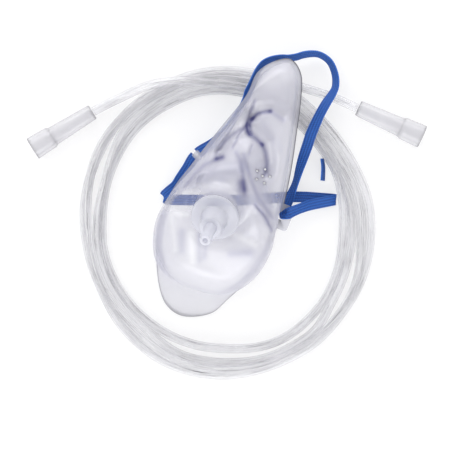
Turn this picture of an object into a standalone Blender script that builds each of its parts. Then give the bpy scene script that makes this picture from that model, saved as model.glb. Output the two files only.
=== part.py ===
"""Oxygen face mask with its head strap and a coil of supply tubing, lying face down on a flat surface.

Sizes are in millimetres and become metres where a mesh is made. The world's origin is on the surface, under the
middle of the mask and its strap, with +Y towards the nose end. Mask points are written as (along, across): along
runs from the chin's edge to the nose, and across is positive towards the right cheek.
"""

import math

import bmesh
import bpy
from mathutils import Matrix, Vector

MM = 0.001
FIT_GAP = 0.3
MERGE_UNDER = 0.00001

# Place of the mask on the surface
CHIN_PLACE = (-32.9, -74.2)
MASK_TURN = 22.0
NOSE_RISE = 6.3

# Mask shell
WALL = 1.2
STEPS_PER_STATION = 3
RIM_EDGE = [
    (152.5, 0.8), (146.5, 8.8), (133.5, 13.8), (117.5, 18.0), (101.0, 22.2), (85.0, 25.4), (69.0, 27.4),
    (51.0, 28.0), (34.0, 24.5), (18.5, 17.5), (7.5, 11.5), (0.6, -1.5), (2.6, -12.5), (11.5, -20.8),
    (27.0, -28.5), (44.0, -33.6), (62.0, -33.6), (82.0, -28.2), (103.5, -21.8), (125.0, -15.2),
    (139.5, -14.0), (149.0, -7.0),
]
WALL_FOOT = [
    (149.8, 0.6), (144.4, 7.0), (132.5, 11.9), (116.9, 16.0), (100.4, 20.1), (84.5, 23.2), (68.8, 25.0),
    (51.2, 25.6), (35.5, 22.2), (23.5, 15.5), (18.8, 8.0), (17.6, -2.0), (17.4, -11.5), (20.5, -19.5),
    (29.5, -26.6), (44.6, -31.0), (61.4, -31.0), (81.3, -25.7), (102.8, -19.4), (124.2, -12.9),
    (137.8, -11.6), (146.8, -5.6),
]
WALL_SWELL = [
    (149.4, 0.6), (144.0, 6.8), (132.2, 11.6), (116.6, 15.8), (100.0, 20.0), (83.8, 23.4), (67.5, 26.4),
    (52.0, 29.1), (35.6, 26.6), (23.0, 18.0), (18.6, 8.6), (17.4, -2.0), (17.4, -12.0), (20.0, -21.6),
    (27.5, -29.6), (43.6, -34.8), (60.6, -33.0), (80.8, -25.9), (102.3, -19.2), (123.8, -12.6),
    (137.4, -11.2), (146.4, -5.4),
]
SWELL_RISE = [(17, 12.5), (45, 13.0), (70, 10.5), (90, 7.5), (120, 5.5), (150, 4.0)]
BULB_CENTRE = (52.0, -4.0)
BULB_TURN = 19.0
BULB_REACH = {"nose": 42.0, "chin": 36.0, "side": 33.0}
BULB_RISE = [(17, 13.0), (30, 14.5), (53, 18.5), (65, 25.0), (76, 33.0), (84, 30.0), (96, 24.0)]
BULB_POWER = 2.4
HOOD_RISE = [(17, 0.0), (60, 12.0), (95, 13.0), (120, 11.5), (143, 8.0), (150, 5.0)]
DOME_EDGE = 12.0
DOME_EDGE_POWER = 2.2
DOME_JOIN_POWER = 4
FLANGE_STEPS = (0.0, 0.5, 1.0)
WALL_STEPS = (0.35, 0.7, 1.0)
DOME_STEPS = (0.03, 0.07, 0.12, 0.18, 0.25, 0.32, 0.39, 0.46, 0.53, 0.6, 0.67, 0.74, 0.81, 0.88, 0.95)
PORT_BLEND = 0.62

# Port collar on the dome
PORT_BASE = (64.7, -5.6, 42.0)
PORT_LEAN = 30.0
COLLAR_RADIUS = 12.3
COLLAR_LENGTH = 13.0
COLLAR_FOOT = [(2.6, -1.0), (0.9, 0.8), (0.2, 2.6)]

# Folds that the soft shell has taken, as (depth, half width, points on the mask)
FOLD_FADE = 6.0
FOLDS = [
    (2.6, 3.4, [(117, -9), (121, -6), (124, 1), (123, 8)]),
    (3.0, 3.6, [(115, -8), (110, -7), (108, -2), (105, 5), (97, 10), (91, 11)]),
    (2.4, 3.2, [(115, -10), (108, -14), (98, -15), (90, -16)]),
]
RIDGES = [(1.6, 2.8, [(95, -9), (88, -5), (82, 1)])]

# Side tab, strap slot and vent holes
CORNER_SEGMENTS = 4
TAB_AT = (72.0, 28.6)
TAB_LENGTH = 14.0
TAB_WIDTH = 9.0
TAB_CORNER = 2.0
SLOT_AT = (73.8, 28.3)
SLOT_LENGTH = 8.2
SLOT_WIDTH = 3.6
SLOT_CORNER = 1.75
SLOT_CUT_DEPTH = 7.2
SLOT_HEADING = 38.0
VENT_AT = (87.6, 9.4)
VENT_RADIUS = 0.9
VENT_SPACING = 3.9
VENTS_ROUND = 5
VENT_SEGMENTS = 8
VENT_CUT_DEPTH = 60.0
VENT_CUT_HEIGHT = 35.0

# Inlet connector
PLUG_DEPTH = 9.0
DISC_THICK = 1.8
DISC_LIP = 0.1
PLUG_WALL = 1.6
PLUG_TAPER = 0.3
DISC_CHAMFER = 0.5
HUB_CHAMFER = 0.6
HUB_LENGTH = 11.0
HUB_RADII = (6.8, 6.0)
NIPPLE_LENGTH = 13.0
NIPPLE_RADIUS = 3.4
NIPPLE_TIP_RADIUS = 2.7
NIPPLE_BORE_RADIUS = 1.4
BARB_LENGTH = 3.5
BARB_SHOULDER = 0.5
TURNED_SEGMENTS = 40

# Elastic strap: x, y, height, the way its width points, and how far that side dips
STRAP_WIDTH = 6.0
STRAP_THICK = 0.9
STRAP_CHAMFER = 0.25
STRAP_STEPS = 2
STRAP_ROUTE = [
    (-27.8, 15.6, 5.0, -42, 0), (-29.6, 13.4, 4.8, -41, 3), (-31.9, 9.2, 4.4, -40, 10),
    (-35.9, 3.5, 3.7, -38, 25), (-38.8, -0.8, 3.5, -46, 30), (-42.2, -4.0, 3.4, -62, 4),
    (-44.9, -6.6, 2.6, -74, 0), (-43.6, -8.0, 1.3, -84, 0), (-39.0, -8.5, 0.8, -89, 0),
    (-25.2, -8.7, 0.8, -90, 0), (-11.3, -8.9, 0.8, -90, 0), (2.6, -8.4, 0.8, -88, 0),
    (16.5, -7.4, 0.8, -88, 0), (30.4, -6.9, 0.8, -90, 0), (43.0, -7.7, 0.8, -93, 0),
    (48.0, -8.1, 1.0, -94, 0), (49.8, -8.5, 2.1, -95, 0), (48.0, -8.9, 3.3, -97, 0),
    (41.6, -10.2, 4.2, -100, 0), (35.9, -11.4, 5.4, -103, 0), (31.8, -12.7, 7.6, -106, 3),
    (28.4, -14.0, 9.8, -109, 5), (25.4, -15.2, 10.9, -113, 5), (22.9, -16.5, 10.7, -122, 5),
    (21.5, -17.0, 9.4, -138, 3), (21.2, -16.8, 7.9, -142, 0), (21.4, -15.5, 6.4, -152, 0),
    (22.2, -12.0, 5.7, -176, 8), (24.3, -7.3, 5.6, -188, 32),
    (26.1, -3.0, 6.2, -192, 54), (27.8, 1.8, 7.0, -194, 60), (29.4, 7.6, 8.0, -196, 48),
    (31.4, 14.1, 9.2, -197, 28), (33.7, 20.9, 10.6, -197, 10), (35.8, 27.4, 11.6, -199, 10),
    (39.7, 36.3, 11.9, -206, 30), (43.7, 43.7, 11.6, -212, 36), (47.5, 49.6, 10.2, -206, 50),
    (49.2, 53.6, 8.6, -194, 60), (49.5, 58.4, 6.6, -180, 63), (48.5, 63.2, 5.4, -164, 65),
    (46.6, 67.2, 4.8, -146, 67), (43.9, 69.8, 4.5, -126, 68), (40.3, 71.6, 4.5, -108, 68),
    (36.2, 71.9, 4.8, -92, 64), (31.7, 71.2, 5.4, -84, 62), (28.1, 70.0, 6.2, -80, 62),
    (23.3, 69.2, 7.6, -84, 66), (18.9, 69.0, 9.2, -84, 66), (14.1, 67.8, 10.8, -72, 62),
    (10.0, 65.6, 12.0, -54, 57), (7.1, 62.4, 12.7, -42, 60), (5.0, 58.6, 12.8, -32, 62),
    (3.2, 53.8, 12.6, -26, 52), (2.1, 50.5, 11.9, -26, 34), (1.0, 47.3, 10.4, -28, 44),
    (-1.5, 42.6, 8.8, -34, 56), (-4.9, 37.6, 7.6, -36, 60), (-8.6, 32.4, 6.8, -38, 55),
    (-12.8, 26.8, 6.2, -42, 36), (-17.8, 22.4, 5.7, -50, 12), (-22.6, 19.6, 5.2, -52, 0),
    (-24.8, 18.3, 5.1, -48, 0), (-26.3, 17.1, 5.0, -43, 0),
]
STRAP_END_ROUTE = [(43.3, 16.8, 3.1, 5, 72), (43.0, 9.0, 3.1, 0, 70), (42.7, 2.0, 3.1, -4, 68)]
CLIP_LENGTH = 4.4
CLIP_WIDTH = 3.0
CLIP_PLATE = 0.6
CLIP_WEB = 0.5
CLIP_CORNER = 0.5

# Supply tubing
TUBE_RADIUS = 2.5
TUBE_RESOLUTION = 2
COIL_CENTRE = (-10.2, -21.1)
COIL_MEAN_RADII = (73.3, 79.1)
COIL_WIDTH = 17.6
COIL_HEIGHT = 9.4
COIL_SEGMENTS = 64
COIL_SIDE_ANGLES = (90, 45, 0, -45, -90)
TAIL_LEFT = [(-83.8, 40.2, 4.4), (-78.0, 43.5, 3.7), (-72.4, 46.4, 2.9), (-66.8, 48.9, 2.6), (-61.7, 50.7, 2.6)]
TAIL_RIGHT = [(61.5, 42.0, 4.3), (54.6, 45.2, 4.2), (48.4, 48.0, 4.1), (42.0, 50.7, 4.1)]
TAIL_STEPS = 3

# End connectors: (distance from the tube's end, outer radius) down the outside
CONNECTOR_OUTSIDE = [(0.0, 3.9), (0.7, 4.3), (25.0, 5.2), (27.5, 5.9), (38.2, 6.35), (38.6, 6.2)]
CONNECTOR_BORE = [(0.0, 2.2), (14.0, 2.2), (22.0, 3.4), (30.0, 4.3), (38.6, 4.7)]
CONNECTOR_SEGMENTS = 28
CONNECTOR_LEFT = {"tube_end": (-84.3, 39.9), "heading": 212.0}
CONNECTOR_RIGHT = {"tube_end": (62.1, 42.0), "heading": -24.5}


def reset_scene():
    for obj in list(bpy.data.objects):
        bpy.data.objects.remove(obj)


def collection(name):
    made = bpy.data.collections.new(name)
    bpy.context.scene.collection.children.link(made)
    return made


def material(name, colour, roughness, alpha=1.0):
    made = bpy.data.materials.new(name)
    made.use_nodes = True
    shader = made.node_tree.nodes["Principled BSDF"]
    shader.inputs["Base Color"].default_value = (*colour, 1.0)
    shader.inputs["Roughness"].default_value = roughness
    shader.inputs["Metallic"].default_value = 0.0
    shader.inputs["Alpha"].default_value = alpha
    return made


def new_object(name, mesh, into, finish=None, smooth_under=40.0):
    obj = bpy.data.objects.new(name, mesh)
    into.objects.link(obj)
    if finish:
        mesh.materials.append(finish)
    mesh.shade_smooth()
    mesh.set_sharp_from_angle(angle=math.radians(smooth_under))
    return obj


def grid_mesh(name, rows, closed_rows=False, closed_columns=False, capped=False):
    """Skins rows of points in millimetres, each row as long as the first."""
    mesh = bpy.data.meshes.new(name)
    bm = bmesh.new()
    made = [[bm.verts.new(Vector(point) * MM) for point in row] for row in rows]
    for i in range(len(made) if closed_rows else len(made) - 1):
        here = made[i]
        after = made[(i + 1) % len(made)]
        for j in range(len(here) if closed_columns else len(here) - 1):
            k = (j + 1) % len(here)
            bm.faces.new((here[j], here[k], after[k], after[j]))
    if capped:
        bm.faces.new(reversed(made[0]))
        bm.faces.new(made[-1])
        bmesh.ops.recalc_face_normals(bm, faces=bm.faces)
    bm.to_mesh(mesh)
    bm.free()
    return mesh


def eased(before, start, end, after, share):
    """The point at that share of the way from start to end on a smooth curve through all four."""
    square = share * share
    cube = square * share
    return tuple(
        0.5 * (2 * b + (c - a) * share + (2 * a - 5 * b + 4 * c - d) * square + (3 * b - a - 3 * c + d) * cube)
        for a, b, c, d in zip(before, start, end, after)
    )


def smooth_loop(points, steps):
    count = len(points)
    return [
        eased(points[i - 1], points[i], points[(i + 1) % count], points[(i + 2) % count], step / steps)
        for i in range(count)
        for step in range(steps)
    ]


def smooth_path(points, steps):
    last = len(points) - 1
    path = [
        eased(points[max(i - 1, 0)], points[i], points[i + 1], points[min(i + 2, last)], step / steps)
        for i in range(last)
        for step in range(steps)
    ]
    return path + [tuple(points[last])]


def level(knots, at):
    """The height that a smooth profile through the knots has there."""
    if at <= knots[0][0]:
        return knots[0][1]
    for (x0, y0), (x1, y1) in zip(knots, knots[1:]):
        if at <= x1:
            share = (at - x0) / (x1 - x0)
            return y0 + (y1 - y0) * share * share * (3 - 2 * share)
    return knots[-1][1]


def mask_to_world(along, across, height):
    turn = math.radians(MASK_TURN)
    x = CHIN_PLACE[0] + math.sin(turn) * along + math.cos(turn) * across
    y = CHIN_PLACE[1] + math.cos(turn) * along - math.sin(turn) * across
    return (x, y, height)


def rim_height(along):
    return WALL + math.tan(math.radians(NOSE_RISE)) * along


def swell_height(along):
    return rim_height(along) + level(SWELL_RISE, along)


def distance_to_path(point, path):
    nearest = math.inf
    for (x0, y0), (x1, y1) in zip(path, path[1:]):
        run = (x1 - x0, y1 - y0)
        share = ((point[0] - x0) * run[0] + (point[1] - y0) * run[1]) / (run[0] ** 2 + run[1] ** 2)
        share = min(1.0, max(0.0, share))
        nearest = min(nearest, math.hypot(point[0] - x0 - share * run[0], point[1] - y0 - share * run[1]))
    return nearest


def stroke_height(strokes, along, across):
    return sum(
        depth * math.exp(-((distance_to_path((along, across), path) / width) ** 2)) for depth, width, path in strokes
    )


def bulb_height(along, across):
    turn = math.radians(BULB_TURN)
    x = along - BULB_CENTRE[0]
    y = across - BULB_CENTRE[1]
    lengthways = math.cos(turn) * x - math.sin(turn) * y
    sideways = math.sin(turn) * x + math.cos(turn) * y
    reach = BULB_REACH["nose"] if lengthways > 0 else BULB_REACH["chin"]
    share = math.hypot(lengthways / reach, sideways / BULB_REACH["side"])
    if share >= 1:
        return 0.0
    return level(BULB_RISE, along) * (1 - share**BULB_POWER) ** (1 / BULB_POWER)


def dome_height(along, across, from_edge):
    """Height of the dome and nose hood over the wall's widest line."""
    edge = 1 - min(1.0, from_edge / DOME_EDGE)
    rounded = math.sqrt(max(0.0, 1 - edge**DOME_EDGE_POWER))
    bulb = bulb_height(along, across)
    hood = level(HOOD_RISE, along)
    joined = (bulb**DOME_JOIN_POWER + hood**DOME_JOIN_POWER) ** (1 / DOME_JOIN_POWER)
    folds = stroke_height(FOLDS, along, across) - stroke_height(RIDGES, along, across)
    return rounded * (joined - folds * min(1.0, from_edge / FOLD_FADE))


def port_point(angle, radius, outwards):
    """A point round the port's leaning axis, with angle 0 on the nose side."""
    lean = math.radians(PORT_LEAN)
    along = PORT_BASE[0] + radius * math.cos(angle) * math.cos(lean) - outwards * math.sin(lean)
    height = PORT_BASE[2] + radius * math.cos(angle) * math.sin(lean) + outwards * math.cos(lean)
    return (along, PORT_BASE[1] + radius * math.sin(angle), height)


def mixed(a, b, share):
    return tuple(x + (y - x) * share for x, y in zip(a, b))


def shell_rings():
    """The shell's outside as rings of mask points, from the rim's edge up to the end of the port collar."""
    edge = smooth_loop(RIM_EDGE, STEPS_PER_STATION)
    foot = smooth_loop(WALL_FOOT, STEPS_PER_STATION)
    swell = smooth_loop(WALL_SWELL, STEPS_PER_STATION)
    count = len(edge)
    angles = [2 * math.pi * i / count for i in range(count)]
    rings = []
    for share in FLANGE_STEPS:
        flat = [mixed(a, b, share) for a, b in zip(edge, foot)]
        rings.append([(s, t, rim_height(s)) for s, t in flat])
    for share in WALL_STEPS:
        bow = math.sin(share * math.pi / 2)
        ring = []
        for a, b in zip(foot, swell):
            s, t = mixed(a, b, bow)
            ring.append((s, t, rim_height(s) + (swell_height(s) - rim_height(s)) * share))
        rings.append(ring)
    extra, outwards = COLLAR_FOOT[0]
    port = [port_point(angle, COLLAR_RADIUS + extra, outwards) for angle in angles]
    for share in DOME_STEPS:
        ring = []
        for start, end in zip(swell, port):
            s, t = mixed(start, end[:2], share)
            from_edge = share * math.dist(start, end[:2])
            height = swell_height(s) + dome_height(s, t, from_edge)
            blend = level([(PORT_BLEND, 0.0), (1.0, 1.0)], share)
            ring.append((s, t, height + (end[2] - height) * blend))
        rings.append(ring)
    for extra, outwards in COLLAR_FOOT:
        rings.append([port_point(angle, COLLAR_RADIUS + extra, outwards) for angle in angles])
    for outwards in (COLLAR_LENGTH / 2, COLLAR_LENGTH):
        rings.append([port_point(angle, COLLAR_RADIUS, outwards) for angle in angles])
    return rings


def boolean(obj, other, operation):
    modifier = obj.modifiers.new(f"{operation.lower()} {other.name}", "BOOLEAN")
    modifier.operation = operation
    modifier.object = other
    other.hide_render = True
    other.display_type = "WIRE"


def box(name, size, into):
    mesh = bpy.data.meshes.new(name)
    bm = bmesh.new()
    bmesh.ops.create_cube(bm, size=1.0)
    bmesh.ops.scale(bm, vec=Vector(size) * MM, verts=bm.verts)
    bm.to_mesh(mesh)
    bm.free()
    return new_object(name, mesh, into)


def rounded_plate(name, length, width, thickness, corner, into):
    plate = box(name, (width, length, thickness), into)
    bm = bmesh.new()
    bm.from_mesh(plate.data)
    upright = [edge for edge in bm.edges if abs(edge.verts[0].co.z - edge.verts[1].co.z) > thickness * MM / 2]
    bmesh.ops.bevel(bm, geom=upright, offset=corner * MM, segments=CORNER_SEGMENTS, profile=0.5, affect="EDGES")
    bm.to_mesh(plate.data)
    bm.free()
    return plate


def set_on_mask(obj, along, across, height, heading=None):
    """Puts an object on the rim's slope, its own Y along the mask or at a heading."""
    yaw = -MASK_TURN if heading is None else heading - 90.0
    turned = Matrix.Rotation(math.radians(yaw), 4, "Z")
    sloped = Matrix.Rotation(math.radians(NOSE_RISE), 4, "X")
    obj.matrix_world = Matrix.Translation(Vector(mask_to_world(along, across, height)) * MM) @ turned @ sloped


def vent_places():
    """A vent in the middle with the rest round it."""
    angles = [2 * math.pi * i / VENTS_ROUND for i in range(VENTS_ROUND)]
    return [(0.0, 0.0)] + [(math.cos(angle) * VENT_SPACING, math.sin(angle) * VENT_SPACING) for angle in angles]


def make_mask_shell(parts, cutters, finish):
    rows = [[mask_to_world(*point) for point in reversed(ring)] for ring in shell_rings()]
    shell = new_object("mask_shell", grid_mesh("mask_shell", rows, closed_columns=True), parts, finish)
    solid = shell.modifiers.new("wall", "SOLIDIFY")
    solid.thickness = WALL * MM
    solid.offset = -1.0
    tab = rounded_plate("tab", TAB_LENGTH, TAB_WIDTH, WALL, TAB_CORNER, cutters)
    set_on_mask(tab, *TAB_AT, rim_height(TAB_AT[0]) - WALL / 2)
    boolean(shell, tab, "UNION")
    slot = rounded_plate("strap_slot", SLOT_LENGTH, SLOT_WIDTH, SLOT_CUT_DEPTH, SLOT_CORNER, cutters)
    set_on_mask(slot, *SLOT_AT, rim_height(SLOT_AT[0]) - WALL / 2, SLOT_HEADING)
    boolean(shell, slot, "DIFFERENCE")
    make_vents(shell, cutters)
    return shell


def make_vents(shell, cutters):
    for index, (along, across) in enumerate(vent_places()):
        mesh = bpy.data.meshes.new(f"vent_{index}")
        bm = bmesh.new()
        bmesh.ops.create_cone(
            bm,
            cap_ends=True,
            segments=VENT_SEGMENTS,
            radius1=VENT_RADIUS * MM,
            radius2=VENT_RADIUS * MM,
            depth=VENT_CUT_DEPTH * MM,
        )
        bm.to_mesh(mesh)
        bm.free()
        vent = new_object(f"vent_{index}", mesh, cutters)
        place = mask_to_world(VENT_AT[0] + along, VENT_AT[1] + across, VENT_CUT_HEIGHT)
        vent.location = Vector(place) * MM
        boolean(shell, vent, "DIFFERENCE")


def turned(name, profile, into, finish, segments=TURNED_SEGMENTS):
    """Turns a closed profile of (radius, height) points about Z, down the outside and up the bore."""
    mesh = bpy.data.meshes.new(name)
    bm = bmesh.new()
    made = [bm.verts.new((radius * MM, 0.0, height * MM)) for radius, height in profile]
    for i in range(len(made)):
        bm.edges.new((made[i], made[(i + 1) % len(made)]))
    bm.to_mesh(mesh)
    bm.free()
    obj = new_object(name, mesh, into, finish)
    screw = obj.modifiers.new("turn", "SCREW")
    screw.steps = segments
    screw.render_steps = segments
    screw.use_merge_vertices = True
    screw.merge_threshold = MERGE_UNDER
    screw.use_smooth_shade = True
    return obj


def port_frame(outwards):
    """The place and turn of something on the port's axis, that far out from its base."""
    lean = Matrix.Rotation(math.radians(PORT_LEAN), 4, "X")
    yaw = Matrix.Rotation(math.radians(-MASK_TURN), 4, "Z")
    along, across, height = port_point(0.0, 0.0, outwards)
    return Matrix.Translation(Vector(mask_to_world(along, across, height)) * MM) @ yaw @ lean


def make_inlet_connector(parts, finish):
    plug = COLLAR_RADIUS - WALL - FIT_GAP
    disc = COLLAR_RADIUS + DISC_LIP
    hollow = plug - PLUG_WALL
    hub = DISC_THICK + HUB_LENGTH
    tip = hub + NIPPLE_LENGTH
    outside = [
        (NIPPLE_TIP_RADIUS, tip),
        (NIPPLE_RADIUS, tip - BARB_LENGTH),
        (NIPPLE_TIP_RADIUS, tip - BARB_LENGTH - BARB_SHOULDER),
        (NIPPLE_RADIUS, hub),
        (HUB_RADII[1] - HUB_CHAMFER, hub),
        (HUB_RADII[1], hub - HUB_CHAMFER),
        (HUB_RADII[0], DISC_THICK),
        (disc - DISC_CHAMFER, DISC_THICK),
        (disc, DISC_THICK - DISC_CHAMFER),
        (disc, 0.0),
        (plug, 0.0),
        (plug - PLUG_TAPER, -PLUG_DEPTH),
    ]
    inside = [
        (hollow, -PLUG_DEPTH),
        (hollow, -DISC_THICK),
        (NIPPLE_BORE_RADIUS, -DISC_THICK),
        (NIPPLE_BORE_RADIUS, tip),
    ]
    connector = turned("inlet_connector", outside + inside, parts, finish)
    connector.matrix_world = port_frame(COLLAR_LENGTH + FIT_GAP)
    return connector


def ribbon(name, route, into, finish):
    """A flat band along a route of (x, y, height, way its width points, dip of that side)."""
    half = STRAP_WIDTH / 2
    thin = STRAP_THICK / 2
    flat = half - STRAP_CHAMFER
    side = thin - STRAP_CHAMFER
    section = [
        (half, -side), (half, side), (flat, thin), (-flat, thin),
        (-half, side), (-half, -side), (-flat, -thin), (flat, -thin),
    ]
    path = smooth_path(route, STRAP_STEPS)
    rows = []
    for i, (x, y, height, way, dip) in enumerate(path):
        before = Vector(path[max(i - 1, 0)][:3])
        after = Vector(path[min(i + 1, len(path) - 1)][:3])
        heading = (after - before).normalized()
        slope = math.radians(dip)
        yaw = math.radians(way)
        across = Vector((math.cos(yaw) * math.cos(slope), math.sin(yaw) * math.cos(slope), -math.sin(slope)))
        across = (across - heading * across.dot(heading)).normalized()
        up = heading.cross(across)
        rows.append([Vector((x, y, height)) + across * wide + up * tall for wide, tall in section])
    return new_object(name, grid_mesh(name, rows, closed_columns=True, capped=True), into, finish)


def make_crimp(parts, finish, cutters):
    """A small clip, H-shaped from the side, that holds the strap's two ends between its plates."""
    start = Vector(STRAP_ROUTE[0][:3])
    end = Vector(STRAP_ROUTE[-1][:3])
    heading = math.atan2(end.y - start.y, end.x - start.x)
    channel = STRAP_THICK + 2 * FIT_GAP
    clip = rounded_plate("strap_crimp", CLIP_WIDTH, CLIP_LENGTH, channel + 2 * CLIP_PLATE, CLIP_CORNER, parts)
    clip.data.materials.append(finish)
    place = Matrix.Translation((start + end) / 2 * MM) @ Matrix.Rotation(heading, 4, "Z")
    clip.matrix_world = place
    for side in (-1, 1):
        slot = box(f"clip_channel_{side}", (CLIP_LENGTH, CLIP_WIDTH * 2, channel), cutters)
        slot.matrix_world = place @ Matrix.Translation((side * (CLIP_LENGTH + CLIP_WEB) / 2 * MM, 0, 0))
        boolean(clip, slot, "DIFFERENCE")
    return clip


def tube(name, route, into, finish):
    curve = bpy.data.curves.new(name, "CURVE")
    curve.dimensions = "3D"
    curve.bevel_depth = TUBE_RADIUS * MM
    curve.bevel_resolution = TUBE_RESOLUTION
    curve.use_fill_caps = True
    curve.materials.append(finish)
    points = smooth_path(route, TAIL_STEPS)
    spline = curve.splines.new("POLY")
    spline.points.add(len(points) - 1)
    for target, point in zip(spline.points, points):
        target.co = (*(Vector(point) * MM), 1.0)
    obj = bpy.data.objects.new(name, curve)
    into.objects.link(obj)
    return obj


def make_coil(parts, finish):
    """The coil's outer shape: a ring with rounded sides, turned and then drawn out to an oval."""
    mean = sum(COIL_MEAN_RADII) / 2
    round_radius = COIL_HEIGHT / 2
    straight = COIL_WIDTH / 2 - round_radius
    profile = []
    for side in (1, -1):
        for angle in COIL_SIDE_ANGLES:
            reach = straight + round_radius * math.cos(math.radians(angle))
            height = round_radius + side * round_radius * math.sin(math.radians(angle))
            profile.append((mean + side * reach, height))
    coil = turned("tube_coil", profile, parts, finish, COIL_SEGMENTS)
    coil.location = Vector((*COIL_CENTRE, 0.0)) * MM
    coil.scale = (COIL_MEAN_RADII[0] / mean, COIL_MEAN_RADII[1] / mean, 1.0)
    return coil


def make_end_connector(name, place, parts, finish):
    length = CONNECTOR_OUTSIDE[-1][0]
    outside = [(radius, length - distance) for distance, radius in CONNECTOR_OUTSIDE]
    bore = [(radius, length - distance) for distance, radius in reversed(CONNECTOR_BORE)]
    connector = turned(name, outside + bore, parts, finish, CONNECTOR_SEGMENTS)
    wide = max(radius for _, radius in CONNECTOR_OUTSIDE)
    narrow = CONNECTOR_OUTSIDE[1][1]
    tip = math.degrees(math.asin((wide - narrow) / length))
    flat = Matrix.Rotation(math.radians(90 + tip), 4, "Y")
    yaw = Matrix.Rotation(math.radians(place["heading"] + 180.0), 4, "Z")
    heading = math.radians(place["heading"])
    reach = length * math.cos(math.radians(tip))
    x = place["tube_end"][0] + math.cos(heading) * reach
    y = place["tube_end"][1] + math.sin(heading) * reach
    connector.matrix_world = Matrix.Translation(Vector((x, y, wide + FIT_GAP / 2)) * MM) @ yaw @ flat
    return connector


def main():
    reset_scene()
    parts = collection("oxygen face mask")
    cutters = collection("cutters")
    clear = material("clear soft vinyl", (0.80, 0.80, 0.88), 0.15, 0.45)
    frosted = material("frosted vinyl", (0.74, 0.75, 0.80), 0.4, 0.7)
    blue = material("blue elastic", (0.02, 0.10, 0.62), 0.8)
    white = material("white plastic", (0.9, 0.9, 0.92), 0.4)
    tubing = material("clear tubing", (0.82, 0.83, 0.85), 0.2, 0.6)
    make_mask_shell(parts, cutters, clear)
    make_inlet_connector(parts, frosted)
    ribbon("head_strap", STRAP_ROUTE, parts, blue)
    ribbon("strap_end", STRAP_END_ROUTE, parts, blue)
    make_crimp(parts, white, cutters)
    make_coil(parts, tubing)
    tube("tube_tail_left", TAIL_LEFT, parts, tubing)
    tube("tube_tail_right", TAIL_RIGHT, parts, tubing)
    make_end_connector("end_connector_left", CONNECTOR_LEFT, parts, frosted)
    make_end_connector("end_connector_right", CONNECTOR_RIGHT, parts, frosted)


main()
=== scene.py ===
"""Oxygen face mask lying face down, with its blue strap and its coil of supply tubing.

Sizes are in millimetres and become metres where a mesh is made, in the CAD's frame. The camera, floor and
lamps are in metres. Mask points are written as (along, across): along runs from the chin's edge to the nose,
and across is positive towards the right cheek.
"""

import math

import bmesh
import bpy
from mathutils import Matrix, Vector


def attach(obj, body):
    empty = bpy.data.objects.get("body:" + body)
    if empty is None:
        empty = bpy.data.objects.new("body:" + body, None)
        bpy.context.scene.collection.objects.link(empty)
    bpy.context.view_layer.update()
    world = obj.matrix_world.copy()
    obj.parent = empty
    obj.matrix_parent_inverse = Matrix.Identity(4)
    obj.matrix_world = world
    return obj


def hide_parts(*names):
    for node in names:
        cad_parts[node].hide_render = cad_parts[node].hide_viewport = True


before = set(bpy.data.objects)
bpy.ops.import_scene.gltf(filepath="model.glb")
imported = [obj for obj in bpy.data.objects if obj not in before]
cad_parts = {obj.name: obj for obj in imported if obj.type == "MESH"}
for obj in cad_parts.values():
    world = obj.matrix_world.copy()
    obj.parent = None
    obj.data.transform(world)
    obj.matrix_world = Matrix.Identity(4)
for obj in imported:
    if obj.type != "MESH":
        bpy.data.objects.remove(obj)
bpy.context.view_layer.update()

MM = 0.001
FIT_GAP = 0.3
# Edges that turn by fewer degrees than this are shaded smooth
SMOOTH_UNDER = 50.0

# Place of the mask
CHIN_PLACE = (-32.9, -74.2)
MASK_TURN = 22.0
NOSE_RISE = 6.3

# Mask shell
WALL = 1.2
SMOOTH_SHELL_UNDER = 60.0
STEPS_PER_STATION = 13
RIM_EDGE = [
    (152.5, 0.8), (146.5, 8.8), (133.5, 13.8), (117.5, 18.0), (101.0, 22.2), (85.0, 25.4), (69.0, 27.4),
    (51.0, 28.0), (34.0, 24.5), (18.5, 17.5), (7.5, 11.5), (0.6, -1.5), (2.6, -12.5), (11.5, -20.8),
    (27.0, -28.5), (44.0, -33.6), (62.0, -33.6), (82.0, -28.2), (103.5, -21.8), (125.0, -15.2),
    (139.5, -14.0), (149.0, -7.0),
]
WALL_FOOT = [
    (149.8, 0.6), (144.4, 7.0), (132.5, 11.9), (116.9, 16.0), (100.4, 20.1), (84.5, 23.2), (68.8, 25.0),
    (51.2, 25.6), (35.5, 22.2), (23.5, 15.5), (18.8, 8.0), (17.6, -2.0), (17.4, -11.5), (20.5, -19.5),
    (29.5, -26.6), (44.6, -31.0), (61.4, -31.0), (81.3, -25.7), (102.8, -19.4), (124.2, -12.9),
    (137.8, -11.6), (146.8, -5.6),
]
WALL_SWELL = [
    (149.4, 0.6), (144.0, 6.8), (132.2, 11.6), (116.6, 15.8), (100.0, 20.0), (83.8, 23.4), (67.5, 26.4),
    (52.0, 29.1), (35.6, 26.6), (23.0, 18.0), (18.6, 8.6), (17.4, -2.0), (17.4, -12.0), (20.0, -21.6),
    (27.5, -29.6), (43.6, -34.8), (60.6, -33.0), (80.8, -25.9), (102.3, -19.2), (123.8, -12.6),
    (137.4, -11.2), (146.4, -5.4),
]
SWELL_RISE = [(17, 12.5), (45, 13.0), (70, 10.5), (90, 7.5), (120, 5.5), (150, 4.0)]
BULB_CENTRE = (52.0, -4.0)
BULB_TURN = 19.0
BULB_REACH = {"nose": 42.0, "chin": 36.0, "side": 33.0}
BULB_RISE = [(17, 13.0), (30, 14.5), (53, 18.5), (65, 25.0), (76, 33.0), (84, 30.0), (96, 24.0)]
BULB_POWER = 2.4
HOOD_RISE = [(17, 0.0), (60, 12.0), (95, 13.0), (120, 11.5), (143, 8.0), (150, 5.0)]
DOME_EDGE = 12.0
DOME_EDGE_POWER = 2.2
DOME_JOIN_POWER = 4
FLANGE_STEPS = (0.0, 0.12, 0.3, 0.6, 1.0)
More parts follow.
